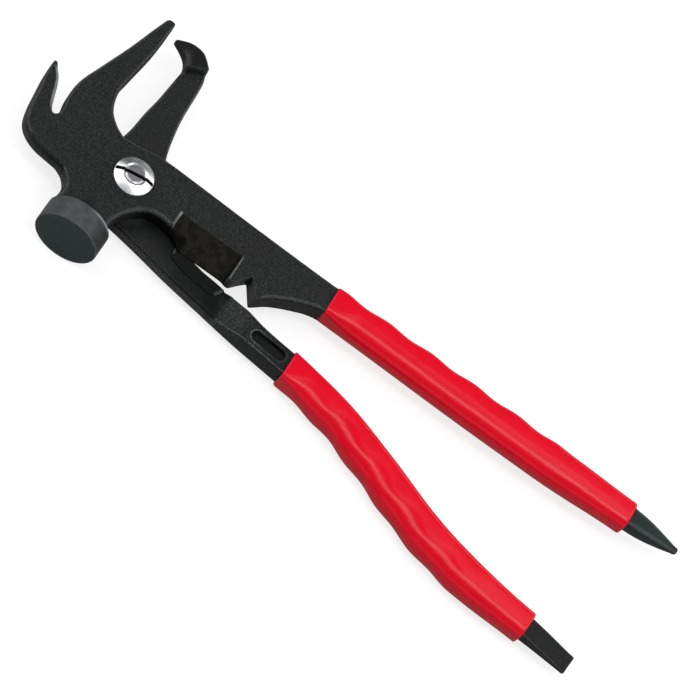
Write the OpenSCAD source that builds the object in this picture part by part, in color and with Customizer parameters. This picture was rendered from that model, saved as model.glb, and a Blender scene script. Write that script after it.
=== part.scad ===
// Wheel weight pliers: two forged levers that cross at a lap joint on one bolt.
// The hammer lever holds the hook spike, the main jaw, the hammer, the cutter blade, the
// notch and the straight handle with its pointed end. The hook lever holds the hooked jaw
// and the curved handle with its flat driver end. +X runs along the straight handle, +Z is
// the pivot axis, and the origin is on that axis, on the flat back of the bolt's head.
// All sizes are in millimetres.

/* [Lap joint] */
// Thickness of the hammer lever's head plate
front_plate_t = 5.5; // [4.5:0.1:6.5]
// Thickness of the hook lever's plate
rear_plate_t = 5.5; // [4.5:0.1:6.5]
// Running gap between flat faces that turn on each other
lap_gap = 0.1; // [0.05:0.01:0.2]
// How far each handle is thickened past the lap plane
handle_step = 2; // [1:0.1:3]

/* [Pivot] */
// Diameter of the bolt's shank
shank_d = 8; // [7:0.1:9]
// Radial running clearance of the hook lever on the shank
shank_clearance = 0.05; // [0.02:0.01:0.1]
// Diameter of the bolt's flat head
bolt_head_d = 13; // [11:0.5:15]
// Thickness of the bolt's flat head
bolt_head_t = 3; // [2:0.1:3.5]
// Diameter of the bolt's threaded end
thread_d = 6.6; // [5:0.1:6.9]
// Diameter of the domed nut
nut_d = 13.4; // [11:0.1:15]
// Height of the nut's straight rim
nut_rim_t = 0.9; // [0.5:0.1:1.2]
// Height of the domed nut
nut_t = 3; // [2.5:0.1:4]
// Width of the driver slot across the nut and the bolt's end
slot_w = 1.2; // [0.8:0.1:2]
// Depth of the driver slot
slot_depth = 1.4; // [0.8:0.1:2]
// Direction of the driver slot, turned from +X
slot_angle = 10; // [-90:1:90]

/* [Hammer] */
// Diameter of the hammer
hammer_d = 21.6; // [19:0.1:22]
// Length of the hammer's ground barrel
hammer_l = 9.2; // [7:0.1:9.6]
// Distance from the pivot axis to the hammer's face
hammer_reach = 30.7; // [29:0.1:33]
// Distance of the hammer's axis behind the pivot axis
hammer_back = 6.2; // [5:0.1:7]
// Height of the hammer's axis over the lap plane
hammer_rise = 2.2; // [1:0.1:3.5]
// Bevel round the hammer's rims
hammer_bevel = 0.8; // [0.3:0.1:1.5]

/* [Jaws] */
// Distance from the pivot axis across to the main jaw's tip
jaw_reach = 58; // [54:0.5:62]
// Distance of the main jaw's working edge behind the pivot axis
jaw_back = 16.9; // [16:0.1:18]
// Width of the main jaw's tip
jaw_tip_w = 3.2; // [2.4:0.1:4]
// Open gap between the main jaw and the claw
jaw_gap = 2.3; // [2:0.1:4]
// How far the claw's tip lies below the main jaw's tip
claw_drop = 4; // [3:0.1:6]
// Height of the claw's face over the lap plane
claw_rise = 3; // [2:0.1:4]
// Width of the hooked jaw's shank under the claw
shank_w = 8.6; // [7:0.1:10]
// Distance from the pivot axis across to the hook spike's tip
spike_reach = 19.4; // [18:0.1:22]
// Distance of the hook spike's tip behind the pivot axis
spike_back = 41; // [40:0.1:43]

/* [Cutter and notch] */
// Distance from the pivot axis across to the cutter blade's edge
blade_edge = 8.9; // [8.4:0.1:9.4]
// Where the ground blade starts along the handle
blade_start = 18.2; // [17:0.1:20]
// Where the ground blade ends along the handle
blade_end = 42; // [40:0.1:42.5]
// Thickness left at the blade's edge
blade_land = 0.5; // [0.2:0.1:1]
// Where the notch's deepest point lies along the handle
notch_x = 48.2; // [48:0.1:49.5]
// Width of the notch's mouth
notch_w = 8.8; // [8:0.1:9.4]
// Depth of the notch
notch_depth = 5.8; // [5:0.1:6.5]
// Height of the hook lever's ground land over its forged face
land_rise = 0.6; // [0.3:0.1:1]

/* [Handles] */
// Distance from the pivot axis to both grips
arm_l = 73; // [72:0.5:78]
// Width of the hammer lever where it enters its grip
front_arm_w = 9.6; // [9:0.1:10.2]
// Width of the hook lever where it enters its grip
rear_arm_w = 8.6; // [8:0.1:9.6]
// Distance of the straight handle's centre line from the pivot axis
front_offset = 6.6; // [6:0.1:7]
// Length of the straight handle's grip
front_grip_l = 118.5; // [105:0.5:130]
// Length of the pointed end past its grip
point_l = 19.5; // [14:0.5:24]
// Width of the pointed end where it leaves its grip
point_w = 6.6; // [5.6:0.1:7.4]
// Thickness of the pointed end where it leaves its grip
point_t = 5.5; // [4.5:0.1:5.8]
// Distance of the curved handle's centre line from the pivot axis, at its grip
rear_offset = 19.7; // [19.2:0.1:20.6]
// Length of the curved handle's grip, along the straight handle
rear_grip_l = 107.5; // [98:0.5:118]
// How far the curved handle swings out over its grip
rear_sweep = 26.7; // [22:0.1:30]
// Length of the flat driver end past its grip
driver_l = 17; // [12:0.5:24]
// Width of the flat driver end
driver_w = 7.2; // [6:0.1:7.6]
// Thickness of the flat driver end where it leaves its grip
driver_t = 4.2; // [3:0.1:5.5]
// Thickness of the flat driver end at its edge
driver_edge_t = 1.2; // [0.8:0.1:2]

/* [Grips] */
// Wall of the grips where they start
grip_wall = 1; // [0.7:0.1:1.4]
// How far the grips swell on their inner side
grip_swell = 0.9; // [0:0.1:1.5]
// How far each side of the grips draws in towards the end
grip_taper = 0.35; // [0.1:0.05:0.7]
// Corner radius of the grips' section
grip_corner = 2.4; // [2:0.1:2.6]
// Length of one finger wave
wave_pitch = 16.9; // [12:0.1:22]
// Height of the finger waves
wave_h = 0.7; // [0:0.1:1]
// Distance from the start of the straight grip to its first hollow
wave_start = 11; // [6:0.5:14]
// Gap between a grip and the steel in it
grip_fit = 0.05; // [0.02:0.01:0.1]
// How far each face of the steel steps in behind the mouth of its grip
tang_relief = 0.6; // [0.4:0.1:0.9]

/* [Hidden] */
$fn = 96;
steel = [0.16, 0.17, 0.17];
chrome = [0.85, 0.86, 0.88];
red_vinyl = [0.84, 0.08, 0.16];
// Overlap that fuses the pieces of one forging
fuse = 0.02;
// Reach of cutting shapes past what they cut
past = 40;

// Levels over the bench
lap_z = bolt_head_t + lap_gap + rear_plate_t + lap_gap / 2;
front_bottom = lap_z + lap_gap / 2;
front_top = front_bottom + front_plate_t;
rear_top = lap_z - lap_gap / 2;
rear_bottom = rear_top - rear_plate_t;
front_under = lap_z - handle_step;
rear_over = lap_z + handle_step;
front_arm_t = front_top - front_under;
rear_arm_t = rear_over - rear_bottom;
front_mid = front_under + front_arm_t / 2;
rear_mid = rear_bottom + rear_arm_t / 2;

// Point at t from b to c on a smooth curve that comes from a and goes on to d
function between(a, b, c, d, t) =
    0.5 * (2 * b + (c - a) * t + (2 * a - 5 * b + 4 * c - d) * t * t
        + (3 * b - a - 3 * c + d) * t * t * t);

// Smooth curve through the points p, with so many steps between two of them
function curve(p, steps = 4) =
    [for (i = [0:len(p) - 2], k = [0:steps - 1])
        between(p[max(i - 1, 0)], p[i], p[i + 1], p[min(i + 2, len(p) - 1)], k / steps),
     p[len(p) - 1]];

// Rises from 0 to 1 as x goes from a to b, and is level outside them
function rise(x, a, b) =
    let (t = min(max((x - a) / (b - a), 0), 1)) t * t * (3 - 2 * t);

// Prism on an outline in X and Z, across the whole tool in Y
module side_prism(outline) {
    translate([0, 2 * past, 0])
        rotate([90, 0, 0])
            linear_extrude(4 * past)
                polygon(outline);
}

// Outline of the hammer lever, seen along the pivot axis

front_end_x = arm_l + front_grip_l;
arm_top_y = front_offset + front_arm_w / 2;
arm_low_y = front_offset - front_arm_w / 2;
barrel_y = hammer_l - hammer_reach;
barrel_left = -hammer_back - hammer_d / 2;
barrel_right = hammer_d / 2 - hammer_back;
tooth_y = -blade_edge - 0.6;
notch_left = notch_x - notch_w / 2;
notch_right = notch_x + notch_w / 2;
// Fork between the two jaws
fork = [-9.6, 11];
// Bottom of the hook slot
slot_y = 3.8;

arm_edge = [[arm_l, arm_top_y], [60, 11.6], [40, 12], [20, 12.6], [8, 12.9], [2, 12.6],
    [-3, 11.6], fork];
jaw_edge = [fork, [-13.2, 13], [-17, 17], [-19, 24], [-18.4, 32], [-jaw_back - 0.4, 42],
    [-jaw_back, jaw_reach - 8], [-jaw_back, jaw_reach - 1]];
jaw_back_edge = [[-jaw_back - 0.6, jaw_reach], [-jaw_back - jaw_tip_w + 0.6, jaw_reach],
    [-jaw_back - jaw_tip_w, jaw_reach - 0.8], [-jaw_back - jaw_tip_w - 1.7, jaw_reach - 7],
    [-24.6, 40], [-28.2, 28], [-30.9, 19], [-31.4, 12], [-30.6, slot_y + 2.2],
    [-31, slot_y + 0.2], [-32.2, slot_y - 0.4], [-33, slot_y + 1], [-34.3, slot_y + 4.6],
    [-36.3, 14], [-spike_back + 1.9, spike_reach - 1.4]];
heel_edge = [[-spike_back + 0.4, spike_reach], [-spike_back - 0.2, spike_reach - 0.6],
    [-spike_back, 14], [-40.1, 7], [-39.1, 0.5], [-37.4, -4.6], [-34, -8], [-30, -9.8],
    [-25, -10.5], [-21, -11], [-18.2, -12.3], [-16.2, -15], [-15.9, -18],
    [barrel_left + 1, barrel_y + 0.5]];
arch_edge = [[barrel_right - 2.2, barrel_y + 0.5], [2.5, -17.3], [3.6, -14], [5.4, -10.9],
    [8, -8], [10.7, -6.2], [13.2, -5.6], [16, -5.7], [19, -6.3], [22, -7.4],
    [24.2, -blade_edge]];
belly_edge = [[notch_right, tooth_y], [notch_right + 2, tooth_y + 1.6], [57.4, -5.4], [61, -3.1],
    [65, -1.1], [arm_l - 4, arm_low_y - 1.2], [arm_l, arm_low_y]];

module front_outline() {
    polygon(concat(curve(arm_edge), curve(jaw_edge), curve(jaw_back_edge), curve(heel_edge),
        [[barrel_left + 1, barrel_y - 2], [barrel_right - 2.2, barrel_y - 2]],
        curve(arch_edge), [[blade_end - 1.2, -blade_edge], [notch_left - 1, tooth_y],
        [notch_left, tooth_y], [notch_x, tooth_y + notch_depth]], curve(belly_edge)));
}

// Outline of the hook lever, seen along the pivot axis

rear_end_x = arm_l + rear_grip_l;
claw_x = -jaw_back + jaw_gap;
claw_y = jaw_reach - claw_drop;
shank_right = 1.3;
shank_left = shank_right - shank_w;
// Where the raised part of the curved handle begins
ramp_x = 44.2;
ramp_l = 2.6;

claw_edge = [[claw_x + 0.2, claw_y + 0.9], [-12, claw_y + 2], [-9, claw_y + 3],
    [-6, claw_y + 3.4], [-3.2, claw_y + 3.2], [-1.2, claw_y + 1.9], [0.2, claw_y - 0.5],
    [shank_right - 0.4, claw_y - 4], [shank_right, 44], [1.9, 34], [3, 26], [4.5, 19],
    [6.2, 14.5]];
inner_edge = [[6.2, 14.5], [9.5, 9.5], [12.5, 4.5], [16.5, -1], [22, -5.5], [28, -8.2],
    [34, -9.4], [40, -9.9], [ramp_x, -10.6], [46.5, -11.7], [50, -12.1], [53.5, -12.4],
    [56.5, -13.3], [60, -14.1], [66, -14.8], [arm_l, rear_arm_w / 2 - rear_offset]];
outer_edge = [[arm_l, -rear_offset - rear_arm_w / 2], [65, -23.1], [55, -21.9], [45, -20.4],
    [35, -18.9], [25, -17.2], [15, -15.5], [6, -14.7], [0, -14.4], [-6, -13.4], [-10.6, -9.6],
    [-12.8, -4], [-13, 2], [-12, 8], [-10.4, 13.5], [-9.4, 19], [-8.8, 27],
    [shank_left - 0.6, 34], [shank_left - 0.1, 41], [shank_left + 0.4, claw_y - 6],
    [shank_left + 0.1, claw_y - 3.6], [-8.7, claw_y - 1.5], [-11.6, claw_y - 0.5],
    [claw_x, claw_y]];

module rear_outline() {
    polygon(concat(curve(claw_edge), curve(inner_edge), curve(outer_edge)));
}

// Centre line of the curved handle, from inside the arm to the driver's edge
sweep_x = [0, 0.196, 0.383, 0.57, 0.757, 1];
sweep_y = [0, 0.162, 0.438, 0.737, 0.923, 1];
driver_slope = -0.12;
rear_path = curve(concat([[arm_l - 8, -rear_offset + 1]],
    [for (i = [0:5]) [arm_l + rear_grip_l * sweep_x[i], -rear_offset - rear_sweep * sweep_y[i]]],
    [[rear_end_x + driver_l, -rear_offset - rear_sweep + driver_slope * driver_l]]), 8);

// Half width at x of the steel in and past a grip. It is w0 in the grip's mouth, steps in
// behind it, and ends at w1 where it leaves the grip at x1.
function half_size(x, x1, w0, w1) =
    lookup(x, [[arm_l + 0.8, w0 / 2], [arm_l + 3, w0 / 2 - tang_relief], [x1, w1 / 2]]);

// Unit vector across a path at point i, on the left of its direction
function across(path, i) =
    let (d = path[min(i + 1, len(path) - 1)] - path[max(i - 1, 0)]) [-d[1], d[0]] / norm(d);

// Share of its size that the pointed end keeps at x
function pointing(x) = 1 - 0.78 * pow(min(max((x - front_end_x) / point_l, 0), 1), 1.9);

// Steel of a handle from its arm to its end, grown by the margin
module front_steel(margin = 0) {
    // how far the pointed end rises from the grip's centre line
    lift = 0.25;
    xs = concat([arm_l - 6, arm_l + 0.8, arm_l + 3], [for (i = [0:8]) front_end_x + point_l * i / 8]);
    half_w = [for (x = xs) half_size(x, front_end_x, front_arm_w, point_w) * pointing(x) + margin];
    mid_y = [for (x = xs) front_offset + lift * rise(x, arm_l, front_end_x)];
    half_t = [for (x = xs) half_size(x, front_end_x, front_arm_t, point_t) * pointing(x) + margin];
    n = len(xs) - 1;
    intersection() {
        linear_extrude(past)
            polygon(concat([for (i = [0:n]) [xs[i], mid_y[i] - half_w[i]]],
                [for (i = [n:-1:0]) [xs[i], mid_y[i] + half_w[i]]]));
        side_prism(concat([for (i = [0:n]) [xs[i], front_mid - half_t[i]]],
            [for (i = [n:-1:0]) [xs[i], front_mid + half_t[i]]]));
    }
}

module rear_steel(margin = 0) {
    n = len(rear_path) - 1;
    half_w = [for (p = rear_path) half_size(p[0], rear_end_x, rear_arm_w, driver_w) + margin];
    edge_t = driver_edge_t / 2 + margin;
    intersection() {
        linear_extrude(past)
            polygon(concat([for (i = [0:n]) rear_path[i] + half_w[i] * across(rear_path, i)],
                [for (i = [n:-1:0]) rear_path[i] - half_w[i] * across(rear_path, i)]));
        side_prism([[arm_l - past, rear_mid - rear_arm_t / 2 - margin],
            [arm_l + 0.8, rear_mid - rear_arm_t / 2 - margin],
            [arm_l + 3, rear_mid - rear_arm_t / 2 + tang_relief - margin],
            [rear_end_x, rear_mid - driver_t / 2 - margin],
            [rear_end_x + driver_l + 2, rear_mid - edge_t],
            [rear_end_x + driver_l + 2, rear_mid + edge_t],
            [rear_end_x, rear_mid + driver_t / 2 + margin],
            [arm_l + 3, rear_mid + rear_arm_t / 2 - tang_relief + margin],
            [arm_l + 0.8, rear_mid + rear_arm_t / 2 + margin],
            [arm_l - past, rear_mid + rear_arm_t / 2 + margin]]);
    }
}

module hammer_barrel() {
    r = hammer_d / 2;
    translate([-hammer_back, barrel_y, lap_z + hammer_rise])
        rotate([90, 0, 0])
            rotate_extrude()
                polygon([[0, 0], [r - hammer_bevel, 0], [r, hammer_bevel],
                    [r, hammer_l - hammer_bevel], [r - hammer_bevel, hammer_l], [0, hammer_l]]);
}

// Slanted grinding that leaves the cutter's blade
module blade_grinding() {
    // height lost by the blade's face for each millimetre across
    fall = (front_plate_t - blade_land) / blade_edge;
    intersection() {
        translate([blade_start, 0, front_top])
            rotate([90, 0, 90])
                linear_extrude(blade_end - blade_start)
                    polygon([[0, 0], [-blade_edge - 3, -fall * (blade_edge + 3)],
                        [-blade_edge - 3, 1], [0, 1]]);
        side_prism([[blade_start - 1, front_top + 2], [blade_start, front_top],
            [blade_start + 1.2, front_bottom - 3], [blade_end, front_bottom - 3],
            [blade_end, front_top + 2]]);
    }
}

module hammer_lever() {
    thick_start = notch_left - 0.8;
    color(steel)
        difference() {
            union() {
                translate([0, 0, front_bottom])
                    linear_extrude(front_plate_t)
                        front_outline();
                intersection() {
                    linear_extrude(front_bottom + fuse)
                        front_outline();
                    side_prism([[thick_start, front_bottom + fuse],
                        [thick_start + 9, front_under], [arm_l, front_under],
                        [arm_l, front_bottom + fuse]]);
                }
                front_steel();
                hammer_barrel();
            }
            cylinder(h = past, d = shank_d);
            blade_grinding();
        }
}

// Everything beyond the slanted step line at the claw's root
module beyond_step() {
    step_turn = 31;
    translate([shank_left, claw_y - 6])
        rotate(step_turn)
            translate([-past, 0])
                square([2 * past, past]);
}

// Claw's face, raised to the main jaw's level, with its round back
module claw_face() {
    back_r = 8.1;
    translate([0, 0, rear_top - fuse])
        linear_extrude(claw_rise + lap_gap / 2 + fuse)
            intersection() {
                rear_outline();
                beyond_step();
                translate([claw_x + 7, claw_y - 4.8])
                    circle(back_r);
            }
}

// Slanted undercut that thins the claw towards its tip
module claw_undercut() {
    tip_t = 1;
    intersection() {
        linear_extrude(past)
            beyond_step();
        side_prism([[-1, rear_bottom - 1], [-1, rear_bottom], [claw_x, lap_z + claw_rise - tip_t],
            [claw_x - 5, lap_z + claw_rise - tip_t], [claw_x - 5, rear_bottom - 1]]);
    }
}

module hook_lever() {
    land_x = blade_start + 5.8;
    land = curve([[land_x, -5], [land_x, -10.8], [land_x + 2, -12.6], [ramp_x - 11.7, -14.1],
        [ramp_x - 6.2, -14.6], [ramp_x - 3.2, -14.4], [ramp_x - 1.6, -13], [ramp_x - 0.8, -9]]);
    color(steel)
        difference() {
            union() {
                translate([0, 0, rear_bottom])
                    linear_extrude(rear_plate_t)
                        rear_outline();
                claw_face();
                intersection() {
                    translate([0, 0, rear_top - fuse])
                        linear_extrude(past)
                            rear_outline();
                    side_prism([[ramp_x, rear_top - fuse], [ramp_x + ramp_l, rear_over],
                        [arm_l, rear_over], [arm_l, rear_top - fuse]]);
                }
                rear_steel();
            }
            cylinder(h = past, d = shank_d + 2 * shank_clearance);
            claw_undercut();
            // forged face of the arm, below the ground lap and land
            difference() {
                translate([0, -past, rear_top - land_rise])
                    cube([ramp_x, past - 5, past]);
                translate([0, 0, rear_bottom])
                    cylinder(h = 2 * past, r = 14);
                translate([0, 0, rear_bottom])
                    linear_extrude(2 * past)
                        polygon(land);
            }
        }
}

module pivot_bolt() {
    color(chrome)
        difference() {
            union() {
                cylinder(h = bolt_head_t, d = bolt_head_d);
                cylinder(h = front_top - lap_gap, d = shank_d);
                cylinder(h = front_top + nut_t, d = thread_d);
            }
            driver_slot();
        }
}

module driver_slot() {
    translate([0, 0, front_top + nut_t - slot_depth])
        rotate([0, 0, slot_angle])
            translate([-nut_d, -slot_w / 2, 0])
                cube([2 * nut_d, slot_w, slot_depth + 1]);
}

module pivot_nut() {
    r = nut_d / 2;
    // radius of the flat crown round the bolt's end
    crown_r = thread_d / 2 + 0.6;
    steps = 8;
    color(chrome)
        translate([0, 0, front_top])
            difference() {
                rotate_extrude()
                    polygon(concat([[thread_d / 2, 0], [r, 0]],
                        [for (i = [0:steps]) let (a = 90 * i / steps)
                            [crown_r + (r - crown_r) * cos(a),
                             nut_rim_t + (nut_t - nut_rim_t) * sin(a)]],
                        [[thread_d / 2, nut_t]]));
                translate([0, 0, -front_top])
                    driver_slot();
            }
}

// Section of a grip: a rounded rectangle with its own half width on each side. Its points
// go round from the middle of the outer side.
function grip_section(outer, inner, half_t, corner) =
    [for (q = [0:3], k = [0:5])
        let (a = 90 * q + 18 * k,
            side = (q == 0 || q == 3) ? outer : -inner,
            level = q < 2 ? half_t : -half_t,
            r = corner)
        [side - sign(side) * r + r * cos(a), level - sign(level) * r + r * sin(a)]];

// Grip along a path. Its outer side is the left of the path where side is 1, and the
// right where it is -1. Its first finger hollow lies at first, measured along the path.
module grip(path, side, steel_w, steel_t, mid, swell_w, first) {
    n = len(path) - 1;
    lengths = [for (i = 0, s = 0; i <= n; i = i + 1,
        s = i <= n ? s + norm(path[i] - path[i - 1]) : s) s];
    total = lengths[n];
    rings = [for (i = [0:n])
        let (s = lengths[i],
            draw = grip_taper * rise(s, 0.72 * total, total),
            lip = 0.3 * (1 - sqrt(1 - pow(max(1 - s / 0.8, 0), 2)))
                + 0.9 * (1 - sqrt(1 - pow(max(1 - (total - s) / 1, 0), 2))),
            wave = -wave_h / 2 * cos(360 * (s - first) / wave_pitch)
                * (1 - rise(s, 0.7 * total, 0.82 * total)),
            swell = swell_w * rise(s, 0, 0.55 * total) * (1 - rise(s, 0.7 * total, total)),
            half_w = steel_w / 2 + grip_wall,
            outer = half_w + wave - draw - lip,
            inner = half_w + swell - draw - lip,
            up = steel_t / 2 + grip_wall - draw - lip,
            c = across(path, i) * side)
        [for (p = grip_section(outer, inner, up, grip_corner - lip))
            [path[i][0] + c[0] * p[0], path[i][1] + c[1] * p[0], mid + p[1]]]];
    m = len(rings[0]);
    points = [for (ring = rings, p = ring) p];
    walls = [for (i = [0:n - 1], k = [0:m - 1])
        let (a = i * m + k, b = i * m + (k + 1) % m)
        each [[a, b, b + m], [a, b + m, a + m]]];
    ends = [[for (k = [m - 1:-1:0]) k], [for (k = [0:m - 1]) n * m + k]];
    faces = concat(walls, ends);
    polyhedron(points, side < 0 ? faces : [for (f = faces) [for (k = [len(f) - 1:-1:0]) f[k]]]);
}

module upper_grip() {
    xs = grip_stations(front_grip_l);
    color(red_vinyl)
        difference() {
            grip([for (x = xs) [arm_l + x, front_offset]], 1, front_arm_w, front_arm_t, front_mid,
                grip_swell, wave_start);
            front_steel(grip_fit);
        }
}

// Stations along a grip, close together at its rounded ends
function grip_stations(l) =
    concat([0, 0.25, 0.8], [for (i = [1:56]) 0.8 + (l - 1.8) * i / 57], [l - 1, l - 0.35, l]);

// Point at x on the curved handle's centre line
function on_rear_path(x) = [x, lookup(x, [for (p = rear_path) p])];

module lower_grip() {
    // the curved handle's grip is this much wider on each side
    rear_extra_w = 0.45;
    xs = grip_stations(rear_grip_l);
    color(red_vinyl)
        difference() {
            grip([for (x = xs) on_rear_path(arm_l + x)], -1, rear_arm_w + 2 * rear_extra_w, rear_arm_t,
                rear_mid, grip_swell + 0.35, wave_start - 3);
            rear_steel(grip_fit);
        }
}

hammer_lever();
hook_lever();
pivot_bolt();
pivot_nut();
upper_grip();
lower_grip();
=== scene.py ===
"""Wheel weight pliers: the surfaces, finishes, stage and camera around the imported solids.

The sections follow the tool as it is put together: the hammer lever, the hook lever, the
pivot bolt, its nut, the two dipped grips, and then the stage. Outlines are in millimetres on
the plane where the two levers lie on each other, and are scaled to metres in the mesh.
"""
import math

import bmesh
import bpy
import numpy as np
from mathutils import Matrix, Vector
from mathutils.geometry import delaunay_2d_cdt


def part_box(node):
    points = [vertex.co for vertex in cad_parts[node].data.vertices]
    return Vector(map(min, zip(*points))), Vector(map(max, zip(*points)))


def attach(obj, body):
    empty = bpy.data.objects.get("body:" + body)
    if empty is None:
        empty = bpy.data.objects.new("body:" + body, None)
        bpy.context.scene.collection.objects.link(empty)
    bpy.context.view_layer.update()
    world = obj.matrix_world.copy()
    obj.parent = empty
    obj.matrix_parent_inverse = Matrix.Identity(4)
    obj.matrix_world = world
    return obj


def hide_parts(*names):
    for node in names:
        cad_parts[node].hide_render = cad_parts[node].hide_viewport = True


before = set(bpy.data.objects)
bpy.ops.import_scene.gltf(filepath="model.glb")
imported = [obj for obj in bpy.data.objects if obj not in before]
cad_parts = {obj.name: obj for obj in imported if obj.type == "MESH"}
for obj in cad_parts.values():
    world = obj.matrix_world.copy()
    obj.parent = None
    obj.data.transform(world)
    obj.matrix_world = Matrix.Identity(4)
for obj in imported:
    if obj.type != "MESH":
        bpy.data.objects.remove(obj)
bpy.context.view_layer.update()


# Hammer lever
# One drop forging with a black oxide finish. Its flat head carries the hook spike, the main
# jaw and the hammer; its arm carries the ground cutter blade, the notch and the handle.

MM = 0.001
LEVER_T = 5.5
LAP_GAP = 0.1
# height of the plane between the two levers, over the bench
LAP_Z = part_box("hook_lever")[0].z / MM + LEVER_T + LAP_GAP / 2
GRIP_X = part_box("upper_grip")[0].x / MM
FRONT_GRIP_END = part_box("upper_grip")[1].x / MM
POINT_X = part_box("hammer_lever")[1].x / MM - 0.1
FRONT_MID_Y, FRONT_UNDER = 6.6, -2.0
FRONT_MID_Z = (LEVER_T + FRONT_UNDER) / 2
# inside the grips' mouths the handles' steel slims by this much, between these two places
SLIM_START, SLIM_END, SLIM_T = GRIP_X + 0.8, GRIP_X + 3, 0.6


def curve(points, spacing=0.35):
    """Points at even spacing on a Catmull-Rom curve: the cubic through each pair of given
    points whose end slopes are half the step between their neighbours."""
    p = np.array(points, float)
    p = np.vstack([2 * p[0] - p[1], p, 2 * p[-1] - p[-2]])
    t = np.linspace(0, 1, 24, endpoint=False)[None, :, None]
    a, b, c, d = (p[k:len(p) - 3 + k][:, None] for k in range(4))
    fine = 0.5 * (2 * b + (c - a) * t + (2 * a - 5 * b + 4 * c - d) * t ** 2
                  + (3 * b - a - 3 * c + d) * t ** 3)
    fine = np.vstack([fine.reshape(-1, 2), p[-2:-1]])
    run = np.concatenate([[0], np.cumsum(np.linalg.norm(np.diff(fine, axis=0), axis=1))])
    at = np.linspace(0, run[-1], max(2, int(round(run[-1] / spacing)) + 1))
    return np.stack([np.interp(at, run, fine[:, 0]), np.interp(at, run, fine[:, 1])], 1)


def loop_of(*pieces):
    """Closed loop of curves laid end to end. Each corner is rounded a little by averaging
    every point with its two neighbours, twice."""
    loop = np.vstack([curve(piece)[:-1] for piece in pieces])
    for _ in range(2):
        loop = (np.roll(loop, 1, 0) + 2 * loop + np.roll(loop, -1, 0)) / 4
    return loop


def left_normal(loop):
    """Unit vector on the left of the chord between each point's neighbours."""
    chord = np.roll(loop, -1, 0) - np.roll(loop, 1, 0)
    chord /= np.linalg.norm(chord, axis=1)[:, None]
    return np.stack([-chord[:, 1], chord[:, 0]], 1)


def bend_limit(loop, wanted):
    """The wanted edge radius, at most 0.6 of the radius at which the loop turns outwards
    near each point, and smoothed along the loop."""
    back, ahead = loop - np.roll(loop, 1, 0), np.roll(loop, -1, 0) - loop
    turn = np.arctan2(back[:, 0] * ahead[:, 1] - back[:, 1] * ahead[:, 0],
                      (back * ahead).sum(1))
    bend = np.linalg.norm(ahead, axis=1) / np.maximum(turn, 1e-3)
    raw = np.minimum(wanted, 0.6 * bend)
    radius = np.min([np.roll(raw, k) for k in range(-4, 5)], axis=0)
    for _ in range(8):
        radius = (np.roll(radius, 1) + 2 * radius + np.roll(radius, -1)) / 4
    return radius


def inside(points, loop):
    """True for each point that an even-odd count of the loop's crossings puts inside it."""
    x, y = points[:, :1], points[:, 1:]
    a, b = loop, np.roll(loop, -1, 0)
    spans = (a[:, 1] > y) != (b[:, 1] > y)
    rise = np.where(b[:, 1] == a[:, 1], 1, b[:, 1] - a[:, 1])
    cross = a[:, 0] + (y - a[:, 1]) / rise * (b[:, 0] - a[:, 0])
    return (spans & (x < cross)).sum(1) % 2 == 1


def nearest(points, others):
    """Distance from each point to the nearest of the others."""
    gap = np.full(len(points), np.inf)
    for part in np.array_split(others, max(1, len(others) // 400)):
        gap = np.minimum(gap, np.linalg.norm(points[:, None] - part[None], axis=2).min(1))
    return gap


def in_metal(points, loops):
    """True inside the first loop and outside the others."""
    keep = inside(points, loops[0])
    for hole in loops[1:]:
        keep &= ~inside(points, hole)
    return keep


def edge_rings(loop, wanted, top, bottom, steps, under):
    """Rings that follow a loop over its rounded edges, from the upper face to the lower one,
    and a share along them of edge rubbing with a painted highlight, brightest a third of the
    way round. At each angle a ring steps into the metal by r(1 - sin a) and climbs to the face
    by r(1 - cos a), and the lower edge's r is the upper one's times the share under. Ring
    number steps lies where the upper edge meets the wall."""
    normal = left_normal(loop)
    radius = bend_limit(loop, wanted)
    within = loop + normal * radius[:, None]
    radius = np.minimum(radius, 0.45 * (top(*within.T) - bottom(*within.T)))
    # each ring's share of rubbing and painted edge highlight peaks a third of the way round
    over = ([(1.2, 0.0, 0.0)]
            + [(1 - math.sin(math.radians(a)), 1 - math.cos(math.radians(a)),
                math.exp(-((a - 34) / 20) ** 2)) for a in np.linspace(0, 90, steps)]
            + [(0.0, 1.25, 0.0)])
    rings, worn = [], []
    for face, side, share, order in ((top, 1, 1, over), (bottom, -1, under, over[::-1])):
        for step, drop, rub_and_glint in order:
            shrunk = share if step < 1.1 else 1
            ring = loop + normal * (radius * (step * shrunk))[:, None]
            rings.append(np.column_stack([ring, face(*ring.T) - side * radius * (drop * shrunk)]))
            worn.append(np.full(len(loop), rub_and_glint))
    return np.array(rings), np.concatenate(worn)


def crease_grid(loops, creases, cell):
    """Points between the loops: the creases' own, and a staggered grid that keeps clear of
    them and of the loops."""
    edge = np.vstack(loops)
    low, high = edge.min(0), edge.max(0)
    gx, gy = np.meshgrid(np.arange(low[0], high[0], cell), np.arange(low[1], high[1], cell * 0.87))
    gx = gx + (np.arange(len(gx)) % 2)[:, None] * cell / 2
    grid = np.stack([gx.ravel(), gy.ravel()], 1)
    grid = grid[in_metal(grid, loops)]
    grid = grid[nearest(grid, edge) > 0.4 * cell]
    lines = np.vstack([curve(line, spacing) for line, spacing in creases])
    lines = lines[in_metal(lines, loops)]
    lines = lines[nearest(lines, edge) > 0.12]
    return np.vstack([lines, grid[nearest(grid, lines) > 0.45 * cell]])


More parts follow.
